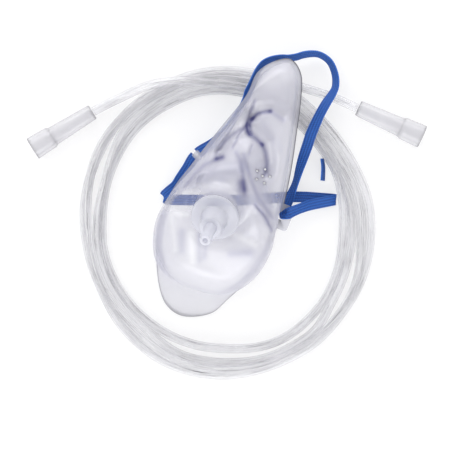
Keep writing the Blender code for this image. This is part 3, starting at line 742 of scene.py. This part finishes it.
def rounded_plate(name, length, width, thickness, corner, soft_edge=0.0):
    """A plate with round corners, and with soft edges if their width is given."""
    plate = box(name, (width, length, thickness))
    bm = bmesh.new()
    bm.from_mesh(plate.data)
    upright = [edge for edge in bm.edges if abs(edge.verts[0].co.z - edge.verts[1].co.z) > thickness * MM / 2]
    bevel_edges(bm, upright, corner, CORNER_SEGMENTS)
    if soft_edge:
        sharp = [edge for edge in bm.edges if edge.calc_face_angle(0) > CLIP_EDGE_TURN]
        bevel_edges(bm, sharp, soft_edge, CLIP_EDGE_STEPS)
    bm.to_mesh(plate.data)
    bm.free()
    return plate


# The mask's own shape

def mask_to_world(along, across, height):
    turn = math.radians(MASK_TURN)
    x = CHIN_PLACE[0] + math.sin(turn) * along + math.cos(turn) * across
    y = CHIN_PLACE[1] + math.cos(turn) * along - math.sin(turn) * across
    return (x, y, height)


def world_to_mask(x, y):
    turn = math.radians(MASK_TURN)
    x -= CHIN_PLACE[0]
    y -= CHIN_PLACE[1]
    return (math.sin(turn) * x + math.cos(turn) * y, math.cos(turn) * x - math.sin(turn) * y)


def rim_height(along):
    return WALL + math.tan(math.radians(NOSE_RISE)) * along


def swell_height(along):
    return rim_height(along) + level(SWELL_RISE, along)


def distance_to_path(point, path):
    nearest = math.inf
    for (x0, y0), (x1, y1) in zip(path, path[1:]):
        run = (x1 - x0, y1 - y0)
        share = ((point[0] - x0) * run[0] + (point[1] - y0) * run[1]) / (run[0] ** 2 + run[1] ** 2)
        share = min(1.0, max(0.0, share))
        nearest = min(nearest, math.hypot(point[0] - x0 - share * run[0], point[1] - y0 - share * run[1]))
    return nearest


def stroke_height(strokes, along, across):
    return sum(
        depth * math.exp(-((distance_to_path((along, across), path) / width) ** 2))
        for depth, width, path in strokes
    )


def bulb_height(along, across):
    turn = math.radians(BULB_TURN)
    x = along - BULB_CENTRE[0]
    y = across - BULB_CENTRE[1]
    lengthways = math.cos(turn) * x - math.sin(turn) * y
    sideways = math.sin(turn) * x + math.cos(turn) * y
    reach = BULB_REACH["nose"] if lengthways > 0 else BULB_REACH["chin"]
    share = math.hypot(lengthways / reach, sideways / BULB_REACH["side"])
    if share >= 1:
        return 0.0
    return level(BULB_RISE, along) * (1 - share**BULB_POWER) ** (1 / BULB_POWER)


def dome_height(along, across, from_edge):
    """Height of the dome and nose hood over the wall's widest line."""
    edge = 1 - min(1.0, from_edge / DOME_EDGE)
    rounded = math.sqrt(max(0.0, 1 - edge**DOME_EDGE_POWER))
    bulb = bulb_height(along, across)
    hood = level(HOOD_RISE, along)
    joined = (bulb**DOME_JOIN_POWER + hood**DOME_JOIN_POWER) ** (1 / DOME_JOIN_POWER)
    folds = stroke_height(FOLDS + FINE_FOLDS, along, across) - stroke_height(RIDGES, along, across)
    return rounded * (joined - folds * min(1.0, from_edge / FOLD_FADE))


def port_point(angle, radius, outwards):
    """A point round the port's leaning axis, with angle 0 on the nose side."""
    lean = math.radians(PORT_LEAN)
    along = PORT_BASE[0] + radius * math.cos(angle) * math.cos(lean) - outwards * math.sin(lean)
    height = PORT_BASE[2] + radius * math.cos(angle) * math.sin(lean) + outwards * math.cos(lean)
    return (along, PORT_BASE[1] + radius * math.sin(angle), height)


def port_frame(outwards):
    """The place and turn of something on the port's axis, that far out from its base."""
    lean = Matrix.Rotation(math.radians(PORT_LEAN), 4, "X")
    yaw = Matrix.Rotation(math.radians(-MASK_TURN), 4, "Z")
    along, across, height = port_point(0.0, 0.0, outwards)
    return Matrix.Translation(Vector(mask_to_world(along, across, height)) * MM) @ yaw @ lean


def mixed(a, b, share):
    return tuple(x + (y - x) * share for x, y in zip(a, b))


def shell_rings():
    """The shell's outside as rings of mask points, from the rim's edge up to the end of the port collar."""
    edge = smooth_loop(RIM_EDGE, STEPS_PER_STATION)
    foot = smooth_loop(WALL_FOOT, STEPS_PER_STATION)
    swell = smooth_loop(WALL_SWELL, STEPS_PER_STATION)
    count = len(edge)
    angles = [2 * math.pi * i / count for i in range(count)]
    rings = []
    for share in FLANGE_STEPS:
        flat = [mixed(a, b, share) for a, b in zip(edge, foot)]
        rings.append([(s, t, rim_height(s)) for s, t in flat])
    for share in WALL_STEPS:
        bow = math.sin(share * math.pi / 2)
        ring = []
        for a, b in zip(foot, swell):
            s, t = mixed(a, b, bow)
            ring.append((s, t, rim_height(s) + (swell_height(s) - rim_height(s)) * share))
        rings.append(ring)
    extra, outwards = COLLAR_FOOT[0]
    port = [port_point(angle, COLLAR_RADIUS + extra, outwards) for angle in angles]
    for step in range(1, DOME_STEPS):
        share = (step / DOME_STEPS) ** DOME_STEP_POWER
        ring = []
        for start, end in zip(swell, port):
            s, t = mixed(start, end[:2], share)
            from_edge = share * math.dist(start, end[:2])
            height = swell_height(s) + dome_height(s, t, from_edge)
            blend = level([(PORT_BLEND, 0.0), (1.0, 1.0)], share)
            ring.append((s, t, height + (end[2] - height) * blend))
        rings.append(ring)
    collar = COLLAR_FOOT + [(0.0, outwards) for outwards in COLLAR_RISE]
    collar += [(COLLAR_LIP, COLLAR_LENGTH - below) for below in COLLAR_LIP_BELOW_END] + [(0.0, COLLAR_LENGTH)]
    for extra, outwards in collar:
        rings.append([port_point(angle, COLLAR_RADIUS + extra, outwards) for angle in angles])
    return rings


def set_on_mask(piece, along, across, height, heading=None):
    """Puts a piece on the rim's slope, its own Y along the mask or at a heading."""
    yaw = -MASK_TURN if heading is None else heading - 90.0
    placed = Matrix.Translation(Vector(mask_to_world(along, across, height)) * MM)
    turned_to = Matrix.Rotation(math.radians(yaw), 4, "Z")
    sloped = Matrix.Rotation(math.radians(NOSE_RISE), 4, "X")
    piece.matrix_world = placed @ turned_to @ sloped


def vent_cutter(material):
    """Upright pins, one in the middle and the rest round it, that cut the vents."""
    sizes = {
        "Round": VENTS_ROUND,
        "Segments": VENT_SEGMENTS,
        "Spacing": VENT_SPACING * MM,
        "Radius": VENT_RADIUS * MM,
        "Depth": VENT_CUT_DEPTH * MM,
    }
    tree, given, out = geometry_tree("vent holes", sizes)
    ring = add(tree, "GeometryNodeMeshCircle", Vertices=given["Round"], Radius=given["Spacing"]).outputs[0]
    outer = add(tree, "GeometryNodeMeshToPoints", Mesh=ring).outputs[0]
    middle = add(tree, "GeometryNodePoints", Count=1).outputs[0]
    places = tree.nodes.new("GeometryNodeJoinGeometry")
    for points in (outer, middle):
        tree.links.new(points, places.inputs[0])
    pin = add(
        tree, "GeometryNodeMeshCylinder", Vertices=given["Segments"], Radius=given["Radius"],
        Depth=given["Depth"],
    ).outputs["Mesh"]
    pins = add(tree, "GeometryNodeInstanceOnPoints", Points=places.outputs[0], Instance=pin).outputs[0]
    solid = add(tree, "GeometryNodeRealizeInstances", Geometry=pins).outputs[0]
    tree.links.new(add(tree, "GeometryNodeSetMaterial", Geometry=solid, Material=material).outputs[0], out)
    cutter = new_piece("vent_cutter", bpy.data.meshes.new("vent_cutter"))
    grow(cutter, tree, sizes)
    cutter.location = Vector(mask_to_world(*VENT_AT, VENT_CUT_HEIGHT)) * MM
    cutter.rotation_euler.z = math.radians(90 - MASK_TURN)
    return settled(cutter, material)


def rim_shade_lines():
    """The rim's painted shade lines as (darkness, points), from the same edge that shapes it."""
    edge = smooth_loop(RIM_EDGE, RIM_LINE_STEPS)
    return [
        (darkness, [edge[i % len(edge)] for i in range(first * RIM_LINE_STEPS, last * RIM_LINE_STEPS + 1)])
        for darkness, first, last in RIM_SHADE_LINES
    ]


def mark_vinyl(piece):
    """Writes the vinyl's painted shade in folds, at the rim and round the vents, its painted shade and
    highlights, and its cloudy and see-through places at each point, from the listed strokes and the rim's
    edge.
    """
    strokes = {"painted_fold_shade": FINE_FOLDS, "shaded": SHADED, "cloudy": CLOUDY, "painted_highlight": PAINTED_HIGHLIGHTS, "opened": OPENED}
    names = (*strokes, "painted_edge_shade")
    for name in names:
        piece.data.attributes.new(name, "FLOAT", "POINT")
    marks = {name: piece.data.attributes[name].data for name in names}
    lines = rim_shade_lines()
    for vertex in piece.data.vertices:
        i = vertex.index
        x, y, z = vertex.co / MM
        along, across = world_to_mask(x, y)
        lift = z - rim_height(along)
        for name, listed in strokes.items():
            marks[name][i].value = min(1.0, stroke_height(listed, along, across))
        marks["painted_fold_shade"][i].value *= min(1.0, max(0.0, (lift - FOLD_SHADE_FROM) / FOLD_SHADE_OVER))
        dark = 0.0
        if lift < FIT_GAP:
            dark = max(
                darkness * math.exp(-((distance_to_path((along, across), line) / RIM_LINE_WIDTH) ** 2))
                for darkness, line in lines
            )
        # Painted shade round the vent holes
        elif near_vent(along, across):
            dark = VENT_SHADE
        marks["painted_edge_shade"][i].value = dark


def near_vent(along, across):
    """Whether a point is on or just outside a vent's edge."""
    for index in range(VENTS_ROUND + 1):
        angle = 2 * math.pi * index / VENTS_ROUND
        spacing = VENT_SPACING if index < VENTS_ROUND else 0.0
        centre = (VENT_AT[0] + spacing * math.cos(angle), VENT_AT[1] + spacing * math.sin(angle))
        if math.dist((along, across), centre) < VENT_RADIUS + VENT_MARK:
            return True
    return False


def make_mask_shell(material):
    rows = [[mask_to_world(*point) for point in reversed(ring)] for ring in shell_rings()]
    shell = new_piece("soft_shell", ringed_mesh("soft_shell", rows))
    solid = shell.modifiers.new("wall", "SOLIDIFY")
    solid.thickness = WALL * MM
    solid.offset = -1.0
    tab = rounded_plate("tab", TAB_LENGTH, TAB_WIDTH, WALL, TAB_CORNER)
    set_on_mask(tab, *TAB_AT, rim_height(TAB_AT[0]) - WALL / 2)
    boolean(shell, tab, "UNION")
    slot = rounded_plate("slot", SLOT_LENGTH, SLOT_WIDTH, SLOT_CUT_DEPTH, SLOT_CORNER)
    set_on_mask(slot, *SLOT_AT, rim_height(SLOT_AT[0]) - WALL / 2, SLOT_HEADING)
    boolean(shell, slot, "DIFFERENCE")
    vents = vent_cutter(material)
    boolean(shell, vents, "DIFFERENCE")
    shell = settled(shell, material, SMOOTH_SHELL_UNDER)
    for used in (tab, slot, vents):
        bpy.data.objects.remove(used)
    mark_vinyl(shell)
    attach(shell, "root")
    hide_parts("mask_shell")


# Turned pieces

def turned(name, profile, matrix, material, segments=TURNED_SEGMENTS):
    """Turns a closed profile of (radius, height) points about Z, down the outside and up the bore."""
    angles = [2 * math.pi * i / segments for i in range(segments)]
    rings = [
        [(radius * math.cos(angle), radius * math.sin(angle), height) for angle in angles]
        for radius, height in profile
    ]
    mesh = ringed_mesh(name, rings, closed=True)
    mesh.transform(matrix)
    return new_piece(name, mesh, material, SMOOTH_TURNED_UNDER)


def make_inlet_connector(material):
    plug = COLLAR_RADIUS - WALL - FIT_GAP
    disc = COLLAR_RADIUS + DISC_LIP
    hollow = plug - PLUG_WALL
    hub = DISC_THICK + HUB_LENGTH
    tip = hub + NIPPLE_LENGTH
    outside = [
        (NIPPLE_TIP_RADIUS, tip),
        (NIPPLE_RADIUS, tip - BARB_LENGTH),
        (NIPPLE_TIP_RADIUS, tip - BARB_LENGTH - BARB_SHOULDER),
        (NIPPLE_RADIUS, hub),
        (HUB_RADII[1] - HUB_CHAMFER, hub),
        (HUB_RADII[1], hub - HUB_CHAMFER),
        (HUB_RADII[0], DISC_THICK + HUB_FILLET),
        (HUB_RADII[0] + HUB_FILLET, DISC_THICK),
        (disc - DISC_CHAMFER, DISC_THICK),
        (disc, DISC_THICK - DISC_CHAMFER),
        (disc, 0.0),
        (plug, 0.0),
        (plug - PLUG_TAPER, -PLUG_DEPTH),
    ]
    inside = [
        (hollow, -PLUG_DEPTH),
        (hollow, -DISC_THICK),
        (NIPPLE_BORE_RADIUS, -DISC_THICK),
        (NIPPLE_BORE_RADIUS, tip),
    ]
    connector = turned("port_connector", outside + inside, port_frame(COLLAR_LENGTH + FIT_GAP), material)
    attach(connector, "root")
    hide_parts("inlet_connector")


def mark_shade_rings(connector, matrix, length):
    """Writes the painted shade lines round a connector at each of its points."""
    marks = connector.data.attributes.new("painted_edge_shade", "FLOAT", "POINT")
    back = matrix.inverted()
    for vertex, mark in zip(connector.data.vertices, marks.data):
        distance = length - (back @ vertex.co).z / MM
        mark.value = max(
            dark * math.exp(-(((distance - ring) / CONNECTOR_RING_WIDTH) ** 2))
            for ring, dark in CONNECTOR_SHADE_RINGS
        )


def make_end_connector(name, node, place, material):
    length = CONNECTOR_OUTSIDE[-1][0]
    outside = [(radius, length - distance) for distance, radius in CONNECTOR_OUTSIDE]
    bore = [(radius, length - distance) for distance, radius in reversed(CONNECTOR_BORE)]
    wide = max(radius for _, radius in CONNECTOR_OUTSIDE)
    narrow = CONNECTOR_OUTSIDE[1][1]
    tip = math.degrees(math.asin((wide - narrow) / length))
    flat = Matrix.Rotation(math.radians(90 + tip), 4, "Y")
    yaw = Matrix.Rotation(math.radians(place["heading"] + 180.0), 4, "Z")
    heading = math.radians(place["heading"])
    reach = length * math.cos(math.radians(tip))
    x = place["tube_end"][0] + math.cos(heading) * reach
    y = place["tube_end"][1] + math.sin(heading) * reach
    matrix = Matrix.Translation(Vector((x, y, wide + FIT_GAP / 2)) * MM) @ yaw @ flat
    connector = turned(name, outside + bore, matrix, material, CONNECTOR_SEGMENTS)
    mark_shade_rings(connector, matrix, length)
    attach(connector, "root")
    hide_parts(node)
    return connector


# Supply tubing

def lying_heights(angle, distances):
    """Heights of the turns that pass that angle, each laid on those before it."""
    order = LIE_FIRST if angle <= FLAT_ANGLE else LIE_LATER
    apart = 2 * TUBE_RADIUS + TUBE_GAP
    laid = {}
    for turn in order:
        if turn not in distances:
            continue
        height = TUBE_RADIUS
        for other, below in laid.items():
            sideways = abs(distances[turn] - distances[other])
            if sideways < apart:
                height = max(height, below + math.sqrt(apart**2 - sideways**2))
        laid[turn] = height
    return laid


def coil_points():
    """The wound part of the tube as (angle, distance, height), from its arrival to where it leaves."""
    tables = {f"turn {i}": [(row[0], row[i]) for row in TURNS] for i in range(1, COIL_TURNS + 1)}
    tables["arrival"] = ARRIVAL
    tables["leaving"] = LEAVING
    angles = range(0, 361, COIL_STEP)
    heights = {}
    for angle in angles:
        here = {}
        for turn, table in tables.items():
            if table[0][0] <= angle <= table[-1][0]:
                here[turn] = flowing(table, angle)
        for turn, height in lying_heights(angle, here).items():
            heights[(turn, angle)] = (angle, here[turn], height)
    route = []
    for turn in ("arrival", "turn 1", "turn 2", "turn 3", "turn 4", "leaving"):
        passed = [heights[(turn, angle)] for angle in angles if (turn, angle) in heights]
        route += passed if turn == "leaving" else [point for point in passed if point[0] < 360]
    return route


def with_neighbours(values):
    """Each value in a list with those beside it."""
    return [values[max(i - 1, 0):i + 2] for i in range(len(values))]


def eased_heights(heights):
    """Lifts each height to the highest beside it and evens them out, so the tube rises in long low humps."""
    lifted = [max(near) for near in with_neighbours(heights)]
    return [sum(near) / len(near) for near in with_neighbours(lifted)]


def tube_route():
    coil = coil_points()
    heights = eased_heights([height for _, _, height in coil])
    wound = []
    for (angle, distance, _), height in zip(coil, heights):
        turn = math.radians(angle)
        x = COIL_CENTRE[0] + distance * math.sin(turn)
        wound.append((x, COIL_CENTRE[1] + distance * math.cos(turn), height))
    route = smooth_path(TAIL_LEFT + wound + TAIL_RIGHT, TUBE_STEPS)
    for _ in range(TUBE_EASING):
        middle = [
            tuple((a + 2 * b + c) / 4 for a, b, c in zip(*near)) for near in zip(route, route[1:], route[2:])
        ]
        route = [route[0], *middle, route[-1]]
    return [(x, y, max(height, TUBE_RADIUS)) for x, y, height in route]


def tube_mesh(name, route):
    """A hollow tube along a route, and how it is wound: the way round it and the distance along it."""
    angles = [2 * math.pi * i / TUBE_SEGMENTS for i in range(TUBE_SEGMENTS)]
    rings = []
    run = 0.0
    for i, point in enumerate(route):
        before = Vector(route[max(i - 1, 0)])
        after = Vector(route[min(i + 1, len(route) - 1)])
        heading = (after - before).normalized()
        sideways = heading.cross(Vector((0, 0, 1))).normalized()
        up = sideways.cross(heading)
        if i:
            run += math.dist(point, route[i - 1])
        rings.append((Vector(point), sideways, up, run))
    rows = []
    winding = []
    for radius, walked in ((TUBE_RADIUS, rings), (TUBE_BORE_RADIUS, reversed(rings))):
        for place, sideways, up, run in walked:
            rows.append([place + (sideways * math.cos(a) + up * math.sin(a)) * radius for a in angles])
            winding += [(math.cos(a), math.sin(a), run / TUBE_STREAK_LENGTH) for a in angles]
    mesh = ringed_mesh(name, rows, closed=True)
    marks = mesh.attributes.new("wound", "FLOAT_VECTOR", "POINT")
    for mark, value in zip(marks.data, winding):
        mark.vector = value
    return mesh


def make_tube(material):
    route = tube_route()
    tube = new_piece("supply_tube", tube_mesh("supply_tube", route), material)
    length = sum(math.dist(a, b) for a, b in zip(route, route[1:])) * MM
    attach(tube, "root")
    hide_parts("tube_coil", "tube_tail_left", "tube_tail_right")
    tuple(Vector(route[0]) * MM)
    [tuple(Vector(point) * MM) for point in route]


# Strap and its clip

def strap_path(name, route):
    """The strap's middle line as a mesh of edges that knows which way the strap's width lies."""
    path = smooth_path(route, STRAP_STEPS)
    mesh = bpy.data.meshes.new(name)
    edges = [(i, i + 1) for i in range(len(path) - 1)]
    mesh.from_pydata([Vector(point[:3]) * MM for point in path], edges, [])
    sides = mesh.attributes.new("side", "FLOAT_VECTOR", "POINT")
    for i, (x, y, height, way, dip) in enumerate(path):
        before = Vector(path[max(i - 1, 0)][:3])
        after = Vector(path[min(i + 1, len(path) - 1)][:3])
        heading = (after - before).normalized()
        slope = math.radians(dip)
        yaw = math.radians(way)
        across = Vector((math.cos(yaw) * math.cos(slope), math.sin(yaw) * math.cos(slope), -math.sin(slope)))
        sides.data[i].vector = (across - heading * across.dot(heading)).normalized()
    return mesh


def strap_tree(material, sizes):
    """Sweeps a ribbed section along the strap's path, and keeps the run along it and the place across it."""
    tree, given, out = geometry_tree("ribbed strap", sizes)
    path = add(tree, "GeometryNodeMeshToCurve", Mesh=given["Geometry"]).outputs[0]
    side = add(tree, "GeometryNodeInputNamedAttribute", {"data_type": "FLOAT_VECTOR"}, Name="side").outputs[0]
    path = add(tree, "GeometryNodeSetCurveNormal", {"mode": "FREE"}, Curve=path, Normal=side).outputs[0]
    run = add(tree, "GeometryNodeSplineParameter").outputs["Length"]
    path = add(tree, "GeometryNodeStoreNamedAttribute", Geometry=path, Name="run", Value=run).outputs[0]
    section = add(
        tree, "GeometryNodeCurvePrimitiveQuadrilateral", Width=given["Width"], Height=given["Thickness"]
    ).outputs[0]
    section = add(
        tree, "GeometryNodeFilletCurve", {"mode": "POLY"}, Curve=section, Count=given["Edge steps"],
        Radius=given["Edge"],
    ).outputs[0]
    section = add(tree, "GeometryNodeResampleCurve", Curve=section, Count=given["Section points"]).outputs[0]
    position = add(tree, "GeometryNodeInputPosition").outputs[0]
    place = add(tree, "ShaderNodeSeparateXYZ", Vector=position).outputs
    ribs = sums(tree, "MULTIPLY", sums(tree, "DIVIDE", place["X"], given["Width"]), given["Ribs"])
    wave = sums(tree, "COSINE", sums(tree, "MULTIPLY", ribs, 2 * math.pi))
    hollow = sums(tree, "MULTIPLY_ADD", wave, -0.5, 0.5)
    inwards = sums(tree, "MULTIPLY", place["Y"], -1.0)
    sunk = sums(tree, "MULTIPLY", sums(tree, "MULTIPLY", hollow, given["Rib depth"]), inwards)
    section = add(
        tree, "GeometryNodeStoreNamedAttribute", Geometry=section, Name="across", Value=place["X"]
    ).outputs[0]
    offset = add(tree, "ShaderNodeCombineXYZ", Y=sunk).outputs[0]
    section = add(tree, "GeometryNodeSetPosition", Geometry=section, Offset=offset).outputs[0]
    swept = add(
        tree, "GeometryNodeCurveToMesh", Curve=path, Profile_Curve=section, Fill_Caps=True
    ).outputs[0]
    solid = add(tree, "GeometryNodeRealizeInstances", Geometry=swept).outputs[0]
    tree.links.new(add(tree, "GeometryNodeSetMaterial", Geometry=solid, Material=material).outputs[0], out)
    return tree


def make_strap(material):
    sizes = {
        "Width": STRAP_WIDTH * MM,
        "Thickness": STRAP_THICK * MM,
        "Edge": STRAP_EDGE * MM,
        "Edge steps": STRAP_EDGE_STEPS,
        "Ribs": STRAP_RIBS,
        "Rib depth": STRAP_RIB_DEPTH,
        "Section points": STRAP_SECTION_POINTS,
    }
    tree = strap_tree(material, sizes)
    for name, node, route in (
        ("elastic_strap", "head_strap", STRAP_ROUTE),
        ("elastic_strap_end", "strap_end", STRAP_END_ROUTE),
    ):
        strap = new_piece(name, strap_path(name, route))
        grow(strap, tree, sizes)
        strap = settled(strap, material)
        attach(strap, "root")
        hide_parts(node)


def make_clip(material):
    """A small clip, H-shaped from the side, that holds the strap's two ends between its plates."""
    start = Vector(STRAP_ROUTE[0][:3])
    end = Vector(STRAP_ROUTE[-1][:3])
    heading = math.atan2(end.y - start.y, end.x - start.x)
    channel = STRAP_THICK + 2 * FIT_GAP
    thickness = channel + 2 * CLIP_PLATE
    clip = rounded_plate("strap_clip", CLIP_WIDTH, CLIP_LENGTH, thickness, CLIP_CORNER, CLIP_EDGE)
    place = Matrix.Translation((start + end) / 2 * MM) @ Matrix.Rotation(heading, 4, "Z")
    clip.matrix_world = place
    slots = []
    for side in (-1, 1):
        slot = box(f"channel_{side}", (CLIP_LENGTH, CLIP_WIDTH * 2, channel))
        slot.matrix_world = place @ Matrix.Translation((side * (CLIP_LENGTH + CLIP_WEB) / 2 * MM, 0, 0))
        boolean(clip, slot, "DIFFERENCE")
        slots.append(slot)
    clip = settled(clip, material)
    for slot in slots:
        bpy.data.objects.remove(slot)
    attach(clip, "root")
    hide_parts("strap_crimp")


def main():
    bpy.context.scene.view_settings.view_transform = "Standard"
    set_camera()
    clear_ends = end_connector_finish()
    left = make_end_connector("left_end_connector", "end_connector_left", CONNECTOR_LEFT, clear_ends)
    right = make_end_connector("right_end_connector", "end_connector_right", CONNECTOR_RIGHT, clear_ends)
    make_tube(tubing_finish())
    make_mask_shell(vinyl_finish())
    make_inlet_connector(frosted_finish())
    make_strap(strap_finish())
    make_clip(clip_finish())
    set_floor()
    set_light()


main()
